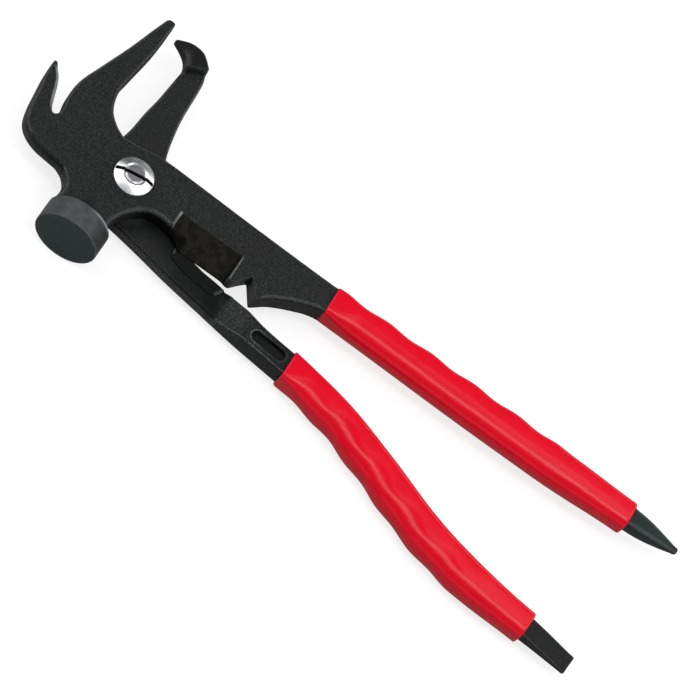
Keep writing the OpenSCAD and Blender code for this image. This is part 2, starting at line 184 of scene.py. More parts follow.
def triangles_between(loops, free):
    """Delaunay triangles over the loops' points and the free ones, all counter-clockwise.
    Returns the points, the triangles, and which of the loops' points each one is, or -1."""
    bounds, first = [], 0
    for loop in loops:
        bounds.append(list(range(first, first + len(loop))))
        first += len(loop)
    flat, _, triangles, source, _, _ = delaunay_2d_cdt(
        [tuple(p) for p in np.vstack([*loops, free])], [], bounds, 1, 1e-7)
    flat = np.array([tuple(p) for p in flat])
    triangles = np.array([tri for tri in triangles if len(tri) == 3])
    triangles = triangles[in_metal(flat[triangles].mean(1), loops)]
    a, b, c = (flat[triangles[:, k]] for k in range(3))
    turned = (b[:, 0] - a[:, 0]) * (c[:, 1] - a[:, 1]) < (b[:, 1] - a[:, 1]) * (c[:, 0] - a[:, 0])
    triangles[turned] = triangles[turned][:, ::-1]
    origin = np.array([ids[0] if len(ids) else -1 for ids in source])
    return flat, triangles, np.where(origin < first, origin, -1)


def relief_plate(loops, radii, top, bottom, creases, cell=1.2, steps=5, under=0.4):
    """Closed plate with rounded edges and shaped faces. The first loop is its outline and
    runs counter-clockwise; the others are holes and run clockwise. top(x, y) and
    bottom(x, y) give the heights of the faces between. Returns vertices, with the loops'
    rings first, faces and the share of edge rubbing with painted highlight at each vertex."""
    verts, faces, rub_and_glint, rims, upper_rim, lower_rim, start = [], [], [], [], [], [], 0
    for loop, wanted in zip(loops, radii):
        rings, worn = edge_rings(loop, wanted, top, bottom, steps, under)
        here = start + np.arange(len(rings) * len(loop)).reshape(len(rings), len(loop))
        after = np.roll(here, -1, 1)
        faces.append(np.stack([here[:-1], here[1:], after[1:], after[:-1]], -1).reshape(-1, 4))
        verts.append(rings.reshape(-1, 3))
        rub_and_glint.append(worn)
        rims.append(rings[0, :, :2])
        upper_rim.append(here[0])
        lower_rim.append(here[-1])
        start += here.size
    flat, triangles, origin = triangles_between(rims, crease_grid(rims, creases, cell))
    free = flat[origin < 0]
    new = np.cumsum(origin < 0) - 1
    upper, lower = (np.where(origin < 0, first + new, np.concatenate(rim)[origin])
                    for rim, first in ((upper_rim, start), (lower_rim, start + len(free))))
    verts += [np.column_stack([free, face(*free.T)]) for face in (top, bottom)]
    rub_and_glint.append(np.zeros(2 * len(free)))
    faces = [*np.vstack(faces).tolist(), *upper[triangles].tolist(),
             *lower[triangles][:, ::-1].tolist()]
    return np.vstack(verts), faces, np.concatenate(rub_and_glint)


def turned_shell(profile, sides=128):
    """Closed shell turned about +Z: each (radius, height) of the profile becomes a ring. The
    profile starts and ends on the axis."""
    p = np.array(profile, float)
    a = np.linspace(0, 2 * np.pi, sides, endpoint=False)
    ring = np.stack([np.cos(a), np.sin(a)], 1)
    verts = np.concatenate([p[:, None, :1] * ring[None],
                            np.broadcast_to(p[:, None, 1:], (len(p), sides, 1))], 2)
    here = np.arange(len(p) * sides).reshape(len(p), sides)
    after = np.roll(here, -1, 1)
    quads = np.stack([here[:-1], after[:-1], after[1:], here[1:]], -1).reshape(-1, 4)
    return verts.reshape(-1, 3), quads.tolist()


def finished(name, shells, smooth_angle=38):
    """One mesh object from shells of (vertices in mm over the lap plane, faces, attributes).
    Doubled points at poles are merged, and edges sharper than the angle stay crisp."""
    verts, faces, first = [], [], 0
    keys = sorted({key for shell in shells for key in shell[2]})
    data = {key: [] for key in keys}
    for v, f, attributes in shells:
        verts.append(v)
        faces += [[index + first for index in face] for face in f]
        first += len(v)
        for key in keys:
            data[key].append(np.broadcast_to(attributes.get(key, 0.0), len(v)))
    mesh = bpy.data.meshes.new(name)
    placed = (np.vstack(verts) + [0, 0, LAP_Z]) * MM
    mesh.from_pydata(placed.tolist(), [], faces)
    for key in keys:
        layer = mesh.attributes.new(key, "FLOAT", "POINT")
        layer.data.foreach_set("value", np.concatenate(data[key]).astype(np.float32))
    work = bmesh.new()
    work.from_mesh(mesh)
    bmesh.ops.remove_doubles(work, verts=work.verts, dist=1e-7)
    bmesh.ops.dissolve_degenerate(work, edges=work.edges, dist=1e-8)
    work.to_mesh(mesh)
    work.free()
    mesh.shade_smooth()
    mesh.set_sharp_from_angle(angle=math.radians(smooth_angle))
    piece = bpy.data.objects.new(name, mesh)
    bpy.context.scene.collection.objects.link(piece)
    return piece


def step_up(value, start, end):
    """Smooth step from 0 at start to 1 at end."""
    t = np.clip((value - start) / (end - start), 0, 1)
    return t * t * (3 - 2 * t)


def hump(value, start, full, fade, end):
    """Smooth rise from 0 at start to 1 at full, and smooth fall from fade to 0 at end."""
    return step_up(value, start, full) * (1 - step_up(value, fade, end))


def bell(distance, width):
    """Bell curve, exp(-(distance / width)^2)."""
    return np.exp(-(distance / width) ** 2)


def band(value, low, high):
    """True between low and high."""
    return (value > low) & (value < high)


def edge_radii(loop, usual, stretches):
    """The usual edge radius at each point of the loop, and another one on each stretch, given
    as (radius, left, right, low, high). A later stretch counts over an earlier one."""
    radii = np.full(len(loop), usual)
    for radius, left, right, low, high in stretches:
        here = band(loop[:, 0], left, right) & band(loop[:, 1], low, high)
        radii = np.where(here, radius, radii)
    return radii


# spike, jaws and head
fork = (-9.6, 11)
jaw_tip, spike_tip = (-17.4, 57.85), (-39.1, 18)
arm_end, neck_left, neck_right = (150, 10.2), (-16, -21), (2.4, -21)
arm_edge = [arm_end, (100, 10.9), (SLIM_END, 10.9), (SLIM_START, 11.5), (60, 11.72),
            (40, 12.13), (20, 12.72), (8, 13), (2, 12.65), (-3, 11.6), fork]
jaw_edge = [fork, (-13.2, 13), (-17, 17), (-19, 24), (-18.4, 32), (-17.3, 42), (-16.9, 50),
            (-16.95, 56.8), jaw_tip]
jaw_back_edge = [jaw_tip, (-18.5, 58.0), (-19.4, 57.9), (-20.2, 56.8), (-21.8, 51),
                 (-24.6, 40), (-28.2, 28), (-30.8, 19), (-31.2, 12), (-30.2, 6),
                 (-30.7, 3.7), (-32.0, 3.1), (-33, 4.6), (-34.3, 8.4), (-36.3, 14), spike_tip]
heel_edge = [spike_tip, (-39.9, 19.1), (-40.7, 19.3), (-41.1, 18.6), (-41, 14), (-40.1, 7),
             (-39.1, 0.5), (-37.4, -4.6), (-34, -8), (-30, -9.8), (-25, -10.5), (-21, -11),
             (-18.2, -12.3), (-16.2, -15), (-15.8, -18), neck_left]
arch_edge = [neck_right, (2.5, -17.3), (3.6, -14), (5.4, -10.9), (8, -8), (10.7, -6.2),
             (13.2, -5.6), (16, -5.7), (19, -6.3), (22, -7.4), (24.2, -8.9)]
belly_edge = [(52.6, -9.6), (54.5, -8.1), (57.3, -5.65), (61, -3.35), (65, -1.3), (69, 0.5),
              (SLIM_START, 1.8), (SLIM_END, 2.3), (100, 2.5), (150, 3.2),
              (FRONT_GRIP_END, 3.55)]

# ground cutter blade: its two ends, its slope's top line, the slope and the edge's height
BLADE_LEFT, BLADE_RIGHT, BLADE_LINE = 18.2, 42.2, 0.2
BLADE_SLOPE, BLADE_LAND = 0.55, 0.45
ARCH_TOP = -4.6
notch_left, notch_tip, notch_right = (43.8, -9.5), (48.2, -3.7), (52.6, -9.5)


def point_share(x):
    """Share of its size that the pointed end keeps at x: 1 - 0.76 t^1.9."""
    t = np.clip((x - FRONT_GRIP_END) / (POINT_X - FRONT_GRIP_END), 0, 1)
    return 1 - 0.76 * t ** 1.9


POINT_HALF_W, POINT_HALF_T = 3.65, 2.75
point_x = FRONT_GRIP_END + (POINT_X - FRONT_GRIP_END) * np.linspace(0, 1, 9) ** 0.8
point_half = POINT_HALF_W * point_share(point_x)
point_mid_y = FRONT_MID_Y + 0.5
point_edge = ([(x, point_mid_y - h) for x, h in zip(point_x, point_half)]
              + [(POINT_X, point_mid_y)]
              + [(x, point_mid_y + h) for x, h in zip(point_x[::-1], point_half[::-1])])
hammer_outline = loop_of(
    arm_edge, jaw_edge, jaw_back_edge, heel_edge, [neck_left, (-16, -22.5)],
    [(-16, -22.5), (2.4, -22.5)], [(2.4, -22.5), neck_right], arch_edge,
    [(24.2, -8.9), (40.8, -8.9)], [(40.8, -8.9), (42.6, -9.5)], [(42.6, -9.5), notch_left],
    [notch_left, notch_tip], [notch_tip, notch_right], belly_edge, point_edge,
    [point_edge[-1], arm_end])

# wide soft edges on the heel, the arch and the point, crisp ones on the blade and the notch
FAR = 999
HEAD_EDGE = 0.9
hammer_edge = edge_radii(hammer_outline, HEAD_EDGE, [
    (1.3, -FAR, -32, -FAR, 12), (1.3, -37, -32, 3, FAR), (1.5, -17, 22, -FAR, -5),
    (1.1, -20, -6, 11, 56), (0.22, 23, 53, -FAR, 0), (1.3, 53, GRIP_X, -FAR, 4),
    (1.7, FRONT_GRIP_END - 1, FAR, -FAR, FAR)])
outline_x, outline_y = hammer_outline.T
heel = hump(outline_x, -37, -33, -19.6, -18.4) * (outline_y < -3)
hammer_edge = np.where(heel > 0, HEAD_EDGE + 1.3 * heel, hammer_edge)


def hammer_top(x, y):
    """Flat at the plate's thickness, but falling along the blade's slope between its two end
    walls, and along the pointed end."""
    across = np.clip(BLADE_LINE - y, 0, None)
    between = np.clip((x - BLADE_LEFT) / 0.7, 0, 1) * np.clip((BLADE_RIGHT - x) / 0.3, 0, 1)
    z = np.maximum(LEVER_T - between * across * BLADE_SLOPE, BLADE_LAND)
    past = np.interp(x, [SLIM_START, SLIM_END, FRONT_GRIP_END], [0, SLIM_T, 1.0])
    return np.where(x > FRONT_GRIP_END, FRONT_MID_Z + POINT_HALF_T * point_share(x), z - past)


UNDER_START, UNDER_END = 46, 52


def hammer_bottom(x, y):
    """Flat on the lap plane, ramping down to the handle's underside behind the blade."""
    z = np.interp(x, [UNDER_START, UNDER_END, SLIM_START, SLIM_END, FRONT_GRIP_END],
                  [LAP_GAP / 2, FRONT_UNDER, FRONT_UNDER, FRONT_UNDER + SLIM_T,
                   FRONT_UNDER + 1.0])
    return np.where(x > FRONT_GRIP_END, FRONT_MID_Z - POINT_HALF_T * point_share(x), z)


def ruled(x0, y0, x1, y1, spacing=0.3):
    """Straight crease with its point spacing."""
    return [(x0, y0), (x1, y1)], spacing


hammer_creases = [
    ruled(BLADE_LEFT, BLADE_LINE, BLADE_RIGHT, BLADE_LINE),
    ruled(BLADE_LEFT + 1, BLADE_LINE - 0.25, BLADE_RIGHT - 0.3, BLADE_LINE - 0.25),
    *[ruled(BLADE_LEFT + k, 0, BLADE_LEFT + k, -8.6) for k in (-0.15, 0, 0.7, 0.85)],
    *[ruled(BLADE_RIGHT + k, 0.3, BLADE_RIGHT + k, -9) for k in (-1.4, -0.8, -0.3, 0, 0.3, 0.5)],
    *[ruled(k, -9, k, 12) for k in (UNDER_START, UNDER_END)],
    ruled(FRONT_GRIP_END, 3.5, FRONT_GRIP_END, 10)]
plate_v, plate_f, plate_wear_and_highlight = relief_plate(
    [hammer_outline], [hammer_edge], hammer_top, hammer_bottom, hammer_creases)

# the trimmed line along the heel, at the ring where the upper edge meets the wall
n, meets = len(hammer_outline), 5
plate_v[meets * n:(meets + 1) * n, :2] += 0.35 * heel[:, None] * left_normal(hammer_outline)
px, py, pz = plate_v.T
# dark colour painted into the heel's groove as shade; the groove itself is cut into the mesh above
grooved = np.zeros(len(px))
for ring, share in ((meets - 1, 0.45), (meets, 1.1), (meets + 1, 0.7)):
    grooved[ring * n:(ring + 1) * n] = share * heel * (0.45 + 0.55 * step_up(outline_x, -33, -24))
trim = hump(px, -35, -32, -19.6, -18.4) * (py < -4)

# where the finishes lie: the ground blade and the notch, painted highlights on the blade's end
# walls and in the spike's throat, and painted shade at the notch's tip, on the arch's wall and
# beside the blade's far end wall
on_blade = (band(px, BLADE_LEFT + np.where(py < ARCH_TOP, -0.1, 0.6), BLADE_RIGHT + 0.1)
            & band(py, -9.3, BLADE_LINE + 0.05) & band(pz, 0.2, LEVER_T - 0.06))
end_wall = (band(px, BLADE_LEFT - 0.1, BLADE_LEFT + 0.8)
            & band(py, ARCH_TOP, BLADE_LINE + 0.05) & (pz > 1))
far_edge = ((np.abs(px - BLADE_RIGHT - 0.15) < 0.2) & (py < BLADE_LINE + 0.1)
            & (pz > LEVER_T - 0.3))
notch_wall = (band(px, 43, 53.2) & (py < -3) & (pz < LEVER_T - 0.02)
              & (pz > hammer_bottom(px, py) + 0.04))
spike_inside = (pz > LEVER_T - 1.35) & (nearest(plate_v[:, :2], curve(jaw_back_edge[-5:])) < 0.95)
arch_wall = band(px, 3, 25) & (py < -5) & (pz < LEVER_T - 1.3)
heel_wall = (px < -15) & (py < 12) & (pz < LEVER_T - 1.4)
# painted highlights: light painted on the blade's near end wall, along its far edge and inside the
# spike's throat
bright = (0.6 * end_wall + 0.2 * far_edge + 0.75 * spike_inside * hump(py, 3.2, 6, 16, 18.5))
ground = (on_blade & ~end_wall).astype(float)
# painted shade at the notch's tip, on the arch's inner wall and beside the blade's far end wall
grooved = np.maximum.reduce([
    grooved, 0.8 * notch_wall * (np.abs(px - notch_tip[0]) < 0.8),
    0.9 * step_up(px, 4, 11) * arch_wall, 0.7 * on_blade * bell(px - BLADE_RIGHT + 0.3, 0.9)])
plate_wear_and_highlight = np.where(on_blade, 0, plate_wear_and_highlight)
# the blade's end walls take strong painted highlights in the edge share, and the heel's wall is
# lifted with painted light
plate_wear_and_highlight = np.where(end_wall, 1.6, np.where(far_edge, 1.2, plate_wear_and_highlight))
plate_wear_and_highlight = np.maximum(plate_wear_and_highlight * (1 - trim), 0.5 * heel_wall)
plate_wear_and_highlight = plate_wear_and_highlight * np.where(band(px, 8, BLADE_LEFT) & (py < -5), 0.5, 1)
smooth = step_up(px, FRONT_GRIP_END - 2, FRONT_GRIP_END)

# hammer: a turned barrel with a ground face, on a hollow-cheeked neck that fades into the plate
BARREL_X, BARREL_Z = -6.1, 2.2
rim, face, back, bevel = 10.75, 30.25, 21.9, 0.4
NECK_START = 12.8
neck = [(3.0 + 6.3 * s ** 2.2, NECK_START + (back - NECK_START) * s)
        for s in np.linspace(0, 1, 14)]
ease = np.radians(np.linspace(0, 90, 6))
barrel_profile = (
    [(0, 11.5), (1.6, 11.6)] + neck
    + [(rim - 0.6 + 0.6 * math.sin(a), back + 0.25 - 0.25 * math.cos(a)) for a in ease]
    + [(rim, back + s) for s in (0.45, 0.7, 1, 1.5, 3.5, 6, face - back - bevel - 0.2)]
    + [(rim - bevel * (1 - math.cos(a)), face - bevel * (1 - math.sin(a))) for a in ease]
    + [(rim - bevel - s, face) for s in (0.3, 3, 6)] + [(0, face)])
spin_v, spin_f = turned_shell(barrel_profile, 160)
sx, sy, sz = spin_v.T
barrel_v = np.stack([BARREL_X + sx, -sz, BARREL_Z + sy], 1)
spin_r = np.hypot(sx, sy)
turned = step_up(sz, back - 0.4, back + 0.5) * (1 - 0.55 * step_up(sx, 2, 9))
facing = step_up(sz, face - 0.25, face - 0.05)
# a painted highlight with some rubbing along the face's rim, stronger towards +x, and a painted
# highlight along the back rim
rim_wear_and_highlight = (0.4 + 0.8 * step_up(sx, 2, 8)) * bell(spin_r - rim + 0.2, 0.3) * (sz > face - 0.6)
back_edge = bell(sz - back - 0.45, 0.4) * (spin_r > rim - 0.5) * hump(sx, 1, 5, 9, 10.3)
hammer = finished("hammer_lever_forging", [
    (plate_v, plate_f, dict(worn=plate_wear_and_highlight, ground=ground, turned=0.7 * notch_wall,
                            facing=0.8 * smooth, grooved=grooved, bright=bright)),
    (barrel_v, spin_f, dict(worn=rim_wear_and_highlight, turned=turned, facing=facing, bright=back_edge))])


def new_material(name):
    """New material, its node tree and its shader."""
    material = bpy.data.materials.new(name)
    material.use_nodes = True
    tree = material.node_tree
    return material, tree, tree.nodes["Principled BSDF"]


def add_node(tree, kind, sockets=None, **settings):
    """A shader node with its properties set. A socket's value is either a constant, set on
    the socket, or another node's output, linked to it."""
    node = tree.nodes.new(kind)
    for key, value in settings.items():
        setattr(node, key, value)
    set_sockets(tree, node, sockets or {})
    return node


def set_sockets(tree, node, sockets):
    """Sets each socket to its constant, or links it to the output given."""
    for key, value in sockets.items():
        if isinstance(value, bpy.types.NodeSocket):
            tree.links.new(value, node.inputs[key])
        else:
            node.inputs[key].default_value = value


def maths(tree, operation, *values, **settings):
    """Output of this operation on the values."""
    return add_node(tree, "ShaderNodeMath", dict(enumerate(values)), operation=operation,
                    **settings).outputs[0]


def mixed(tree, share, first, second):
    """The first colour or value, turning into the second as the share goes from 0 to 1."""
    colours = isinstance(second, tuple) or getattr(second, "type", "VALUE") == "RGBA"
    a, b, out = (6, 7, 2) if colours else (2, 3, 0)
    return add_node(tree, "ShaderNodeMix", {0: share, a: first, b: second},
                    data_type="RGBA" if colours else "FLOAT").outputs[out]


def stretched(tree, value, start, end, low=0.0, high=1.0):
    """The value with its span from start to end laid over low to high, and held there."""
    return add_node(tree, "ShaderNodeMapRange", {
        "Value": value, "From Min": start, "From Max": end, "To Min": low,
        "To Max": high}).outputs["Result"]


def noise(tree, place, scale, detail, roughness):
    """Cloudy noise at the place, from 0 to 1."""
    return add_node(tree, "ShaderNodeTexNoise", {
        "Vector": place, "Scale": scale, "Detail": detail,
        "Roughness": roughness}).outputs["Fac"]


def painted(tree, key):
    """The mask that the mesh carries under this name."""
    return add_node(tree, "ShaderNodeAttribute", attribute_name=key).outputs["Fac"]


def object_place(tree):
    """Place on the object, in metres."""
    return add_node(tree, "ShaderNodeTexCoord").outputs["Object"]


def forged_grain_group():
    """Fine grit of blasted, oxidised steel: Speck picks out its light grains, Cloud its soft
    brown patches, Stain its small ones, and Height is the grit with a slow hammered swell."""
    tree = bpy.data.node_groups.new("forged_grain", "ShaderNodeTree")
    tree.interface.new_socket("Vector", in_out="INPUT", socket_type="NodeSocketVector")
    grain = tree.interface.new_socket("Grain", in_out="INPUT", socket_type="NodeSocketFloat")
    grain.default_value = 2500.0
    for label in ("Speck", "Cloud", "Stain", "Height"):
        tree.interface.new_socket(label, in_out="OUTPUT", socket_type="NodeSocketFloat")
    given, out = tree.nodes.new("NodeGroupInput"), tree.nodes.new("NodeGroupOutput")
    fine = noise(tree, given.outputs["Vector"], given.outputs["Grain"], 2.0, 0.6)
    coarse = noise(tree, given.outputs["Vector"], 420.0, 3.0, 0.55)
    cloud = noise(tree, given.outputs["Vector"], 75.0, 3.0, 0.6)
    set_sockets(tree, out, {
        "Speck": stretched(tree, fine, 0.44, 0.72), "Cloud": stretched(tree, cloud, 0.42, 0.66),
        "Stain": stretched(tree, coarse, 0.38, 0.62),
        "Height": maths(tree, "ADD", fine, maths(tree, "MULTIPLY", coarse, 1.3))})
    return tree


FORGED_GRAIN = forged_grain_group()
OXIDE, LIGHT_GRAIN = (0.0045, 0.0058, 0.0054, 1), (0.04025, 0.0461, 0.0443, 1)
BROWN = (0.012, 0.0115, 0.009, 1)
# pale colour of pit tops, rubbed edges and painted highlights
WEAR_AND_HIGHLIGHT = (0.2, 0.21, 0.215, 1)


def forged_steel(name, finishes):
    """Black oxide steel. The grain group speckles it, and each finish, a mesh attribute with
    its colour, its stain, its roughness and its shine, is laid thinly over it in turn; some
    finishes are painted shade and painted highlight. Worn edges, with painted highlights on edges
    and walls, come last."""
    material, tree, shader = new_material(name)
    grain = add_node(tree, "ShaderNodeGroup", {"Vector": object_place(tree)},
                     node_tree=FORGED_GRAIN)
    speck = grain.outputs["Speck"]
    colour = mixed(tree, speck, OXIDE, LIGHT_GRAIN)
    colour = mixed(tree, maths(tree, "MULTIPLY", grain.outputs["Cloud"], 0.35), colour, BROWN)
    rough = stretched(tree, speck, 0.0, 1.0, 0.62, 0.48)
    smooth, shine = 0.0, 0.26
    for key, tint, stain, gloss, lustre in finishes:
        mask = maths(tree, "MULTIPLY", painted(tree, key), 0.9)
        finish = mixed(tree, grain.outputs["Stain"], (*tint, 1), (*stain, 1))
        colour = mixed(tree, mask, colour, finish)
        shine = mixed(tree, mask, shine, lustre)
        rough = mixed(tree, mask, rough, gloss)
        smooth = maths(tree, "MAXIMUM", smooth, mask)
    pits = maths(tree, "MULTIPLY", painted(tree, "pitted"), speck, use_clamp=True)
    colour = mixed(tree, pits, colour, WEAR_AND_HIGHLIGHT)
    # rubbed edges and painted edge highlights turn pale
    rub_and_glint = painted(tree, "worn")
    rubbed_and_lit = maths(tree, "MULTIPLY", maths(tree, "MULTIPLY", speck, rub_and_glint), 0.45)
    rubbed_and_lit = maths(tree, "MULTIPLY_ADD", rub_and_glint, 0.2, rubbed_and_lit, use_clamp=True)
    colour = mixed(tree, rubbed_and_lit, colour, WEAR_AND_HIGHLIGHT)
    height = maths(tree, "MULTIPLY", grain.outputs["Height"],
                   maths(tree, "SUBTRACT", 1.0, smooth))
    bump = add_node(tree, "ShaderNodeBump", {"Height": height, "Strength": 0.5,
                                             "Distance": 0.00025})
    set_sockets(tree, shader, {"Base Color": colour, "Roughness": rough,
                               "Specular IOR Level": shine, "Normal": bump.outputs["Normal"]})
    return material


hammer.data.materials.append(forged_steel("hammer_lever_steel", [
    ("ground", (0.017, 0.0145, 0.0105), (0.005, 0.0035, 0.002), 0.45, 0.06),
    ("turned", (0.088, 0.097, 0.106), (0.062, 0.068, 0.072), 0.5, 0.3),
    ("facing", (0.019, 0.034, 0.034), (0.016, 0.028, 0.028), 0.5, 0.22),
    # painted shade
    ("grooved", (0.001, 0.0016, 0.0013), (0.001, 0.0013, 0.001), 0.7, 0.05),
    # painted highlight
    ("bright", (0.45, 0.48, 0.5), (0.3, 0.32, 0.34), 0.4, 0.4)]))
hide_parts("hammer_lever")
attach(hammer, "hammer_side")


# Hook lever
# The second forging, behind the first. Its hooked claw stands up to the main jaw's level; its
# arm has a ground land under the blade, a rough raised pad with a plain oval recess, and the
# curved handle, which ends in a flat driver.

REAR_OFFSET, REAR_SWEEP = 19.7, 26.7
REAR_GRIP_RUN = 107.5
HANDLE_END = 197.5
sweep_x = GRIP_X + REAR_GRIP_RUN * np.array([0, 0.196, 0.383, 0.57, 0.757, 1])
sweep_y = -REAR_OFFSET - REAR_SWEEP * np.array([0, 0.162, 0.438, 0.737, 0.923, 1])
rear_path = curve([(65, -18.7), *zip(sweep_x, sweep_y), (HANDLE_END, sweep_y[-1] - 2.04)], 1.0)


def beside(path, offset):
    """The path moved sideways, to its left where the offset is positive."""
    step = np.gradient(path, axis=0)
    step /= np.linalg.norm(step, axis=1)[:, None]
    return path + np.stack([-step[:, 1], step[:, 0]], 1) * np.asarray(offset)[..., None]


handle = rear_path[rear_path[:, 0] > GRIP_X + 0.5]
half = np.interp(handle[:, 0], [SLIM_START, SLIM_END, 180.5, HANDLE_END], [4.1, 3.7, 3.6, 3.45])
inner_handle, outer_handle = beside(handle, half), beside(handle, -half)
claw_point, claw_heel = (-14.1, 54.8), (-14.1, 53.3)
claw_edge = [claw_point, (-13.2, 55.4), (-10.4, 56.8), (-8.3, 57.3), (-6.5, 57.3),
             (-5.0, 57.05), (-3.55, 56.5), (-2.3, 55.5), (-1.15, 54.3), (-0.1, 53.1), (0.6, 51.7),
             (1.2, 49.4), (1.65, 44), (2.2, 34), (3.35, 26), (4.85, 19), (6.5, 14.5)]
inner_edge = [(6.5, 14.5), (9.5, 9.5), (12.5, 4.5), (16.5, -1), (22, -5.5), (28, -8.0),
              (31.5, -8.75), (35, -9.45), (40, -9.9), (44.2, -10.6), (46.5, -11.7),
              (50, -12.1), (53.5, -12.4), (56.5, -13.1), (60, -13.9), (66, -14.7), (72, -15.3),
              tuple(inner_handle[0])]
outer_edge = [tuple(outer_handle[0]), (65, -23.05), (55, -21.95), (45, -20.5), (35, -19.05),
              (25, -17.45), (15, -15.5), (6, -13.95), (0, -13.1), (-6, -12.2), (-10.6, -9.4),
              (-12.8, -4), (-13, 2), (-12, 8), (-10.3, 13.5), (-9.2, 19), (-8.6, 27),
              (-7.7, 34), (-7.2, 41), (-6.8, 46.6), (-6.7, 48.8), (-7.2, 50.2), (-7.9, 51.2),
              (-8.9, 52), (-10.6, 52.6), (-12.5, 53), claw_heel]
hook_outline = loop_of(claw_edge[::-1], [claw_point, claw_heel], outer_edge[::-1],
                       outer_handle, [outer_handle[-1], inner_handle[-1]],
                       inner_handle[::-1], inner_edge[::-1])
hook_edge = edge_radii(hook_outline, 0.8, [
    (0.9, 6, 44, -FAR, -12), (0.45, -FAR, -5, 50, FAR), (0.5, 44, GRIP_X, -FAR, -18),
    (0.3, 22, 44, -12, 2), (0.45, 181, FAR, -FAR, FAR)])

# heights over the lap plane, the ramp up to the pad, and the pad's outer end with its tilt
ARM_Z, PAD_Z, CLAW_Z = -0.6, 2, 3.0
RAMP_START, RAMP_END = 43.9, 46.7
TILT_END, TILT_RUN = 56, 10.5
BOSS_R = 12.5
step_dir = np.array([math.cos(math.radians(31)), math.sin(math.radians(31))])
land_edge = curve([(23.4, -4), (23.6, -10.6), (26, -12.6), (32.5, -14.1), (38, -14.6),
                   (41, -14.4), (42.6, -13), (43.6, -10.4), (43.8, -7)], 0.3)
land_loop = np.vstack([land_edge, [(43.8, 0), (23.4, 0)]])
OVAL_X, OVAL_Y, OVAL_TURN = 64.3, -18.85, math.radians(-4.5)
OVAL_A, OVAL_B, OVAL_DEPTH = 6.5, 2.15, 0.9


def past_step(x, y):
    """Distance past the slanted line at the claw's root."""
    return (y - 46.9) * step_dir[0] - (x + 7.0) * step_dir[1]


def oval_share(x, y):
    """1 along the oval's middle, 0 on its rim, and negative outside it."""
    u = (x - OVAL_X) * math.cos(OVAL_TURN) + (y - OVAL_Y) * math.sin(OVAL_TURN)
    v = (y - OVAL_Y) * math.cos(OVAL_TURN) - (x - OVAL_X) * math.sin(OVAL_TURN)
    long = np.maximum(np.abs(u) - (OVAL_A - OVAL_B), 0)
    return 1 - np.hypot(long, v) / OVAL_B


def oval_ring(share):
    """Ring where oval_share has this value: half circles about the ends of the middle line."""
    around = np.radians(np.arange(0, 361, 4))
    reach = OVAL_B * (1 - share)
    u = np.sign(np.cos(around)) * (OVAL_A - OVAL_B) + reach * np.cos(around)
    v = reach * np.sin(around)
    return [(OVAL_X + p * math.cos(OVAL_TURN) - q * math.sin(OVAL_TURN),
             OVAL_Y + p * math.sin(OVAL_TURN) + q * math.cos(OVAL_TURN)) for p, q in zip(u, v)]


def hook_top(x, y):
    """Forged face below the lap, with the lap's boss, the land, the ramp up to the pad with
    its recess and the recess's lip, the claw's raised face, and the driver's taper."""
    flat = np.stack([np.ravel(x), np.ravel(y)], 1)
    on_land = inside(flat, land_loop).reshape(np.shape(x))
    z = np.where((np.hypot(x, y) < BOSS_R) | on_land, -LAP_GAP / 2, ARM_Z)
    tilt = np.clip((TILT_END - x) / TILT_RUN, 0, 1) * np.clip((-12.5 - y) / 8, 0, 1)
    pad = PAD_Z - 3.7 * tilt
    on_arm = (x > 30) & (y < 0)
    z = np.where(on_arm, z + (pad - z) * step_up(x, RAMP_START, RAMP_END), z)
    recess = OVAL_DEPTH * step_up(oval_share(x, y), 0, 0.22)
    lip = 0.25 * bell(oval_share(x, y) + 0.1, 0.13)
    z = np.where(on_arm & (x < 74), z - recess + lip, z)
    in_claw = step_up(past_step(x, y), 0.85, 1.35) * (x < 6) * (y > 40)
    z = z + (CLAW_Z - z) * in_claw
    tang = np.interp(x, [SLIM_START, SLIM_END, 180, HANDLE_END], [2, 1.4, 0.35, -1.15])
    return np.where((x > GRIP_X) & (y < 0), tang, z)


def hook_bottom(x, y):
    """Flat back, undercut along a slanted plane beneath the claw, tapering to the driver."""
    under = np.clip(-LEVER_T - (x + 1) * 0.56, -LEVER_T, 2.0)
    share = step_up(past_step(x, y), -0.6, 1.4) * (y > 40) * (x < 6)
    z = -LEVER_T + (under + LEVER_T) * share
    tang = np.interp(x, [SLIM_START, SLIM_END, 180, HANDLE_END], [-5.5, -4.9, -3.85, -2.35])
    return np.where((x > GRIP_X) & (y < 0), tang, z)


land_out = left_normal(land_edge)
hook_creases = [
    (land_edge[2:-2] - 0.05 * land_out[2:-2], 0.3), (land_edge[2:-2] + 0.1 * land_out[2:-2], 0.3),
    *[(oval_ring(k), 0.28) for k in (-0.3, -0.2, -0.1, 0, 0.11, 0.22)],
    ruled(RAMP_START, -9, RAMP_START, -20), ruled(RAMP_END, -9, RAMP_END, -22),
    ruled(TILT_END, -9, TILT_END, -22),
    *[ruled(-7.3 - 0.515 * k, 46.72 + 0.857 * k, 1.6 - 0.515 * k, 52.07 + 0.857 * k, 0.2)
      for k in (0.8, 0.95, 1.1, 1.25, 1.4, 1.6)]]
hook_v, hook_f, hook_wear_and_highlight = relief_plate(
    [hook_outline], [hook_edge], hook_top, hook_bottom, hook_creases)

# where the finishes lie: the land, the dark facets, painted shade under the arch and along the
# land's edge, the pitted pad, the rubbed edges, and painted highlights on edges and walls
hook_xy = hook_v[:, :2]
hx, hy, hz = hook_v.T
oval, beyond = oval_share(hx, hy), past_step(hx, hy)
by_pad, by_claw = hx > 50, hy > 40
land = (inside(hook_xy, land_loop) & band(hz, -0.5, 0.5)).astype(float)
arm_dark = 0.75 * step_up(hx, 22, 30) + 0.25 * step_up(hx, 38, 41.5)
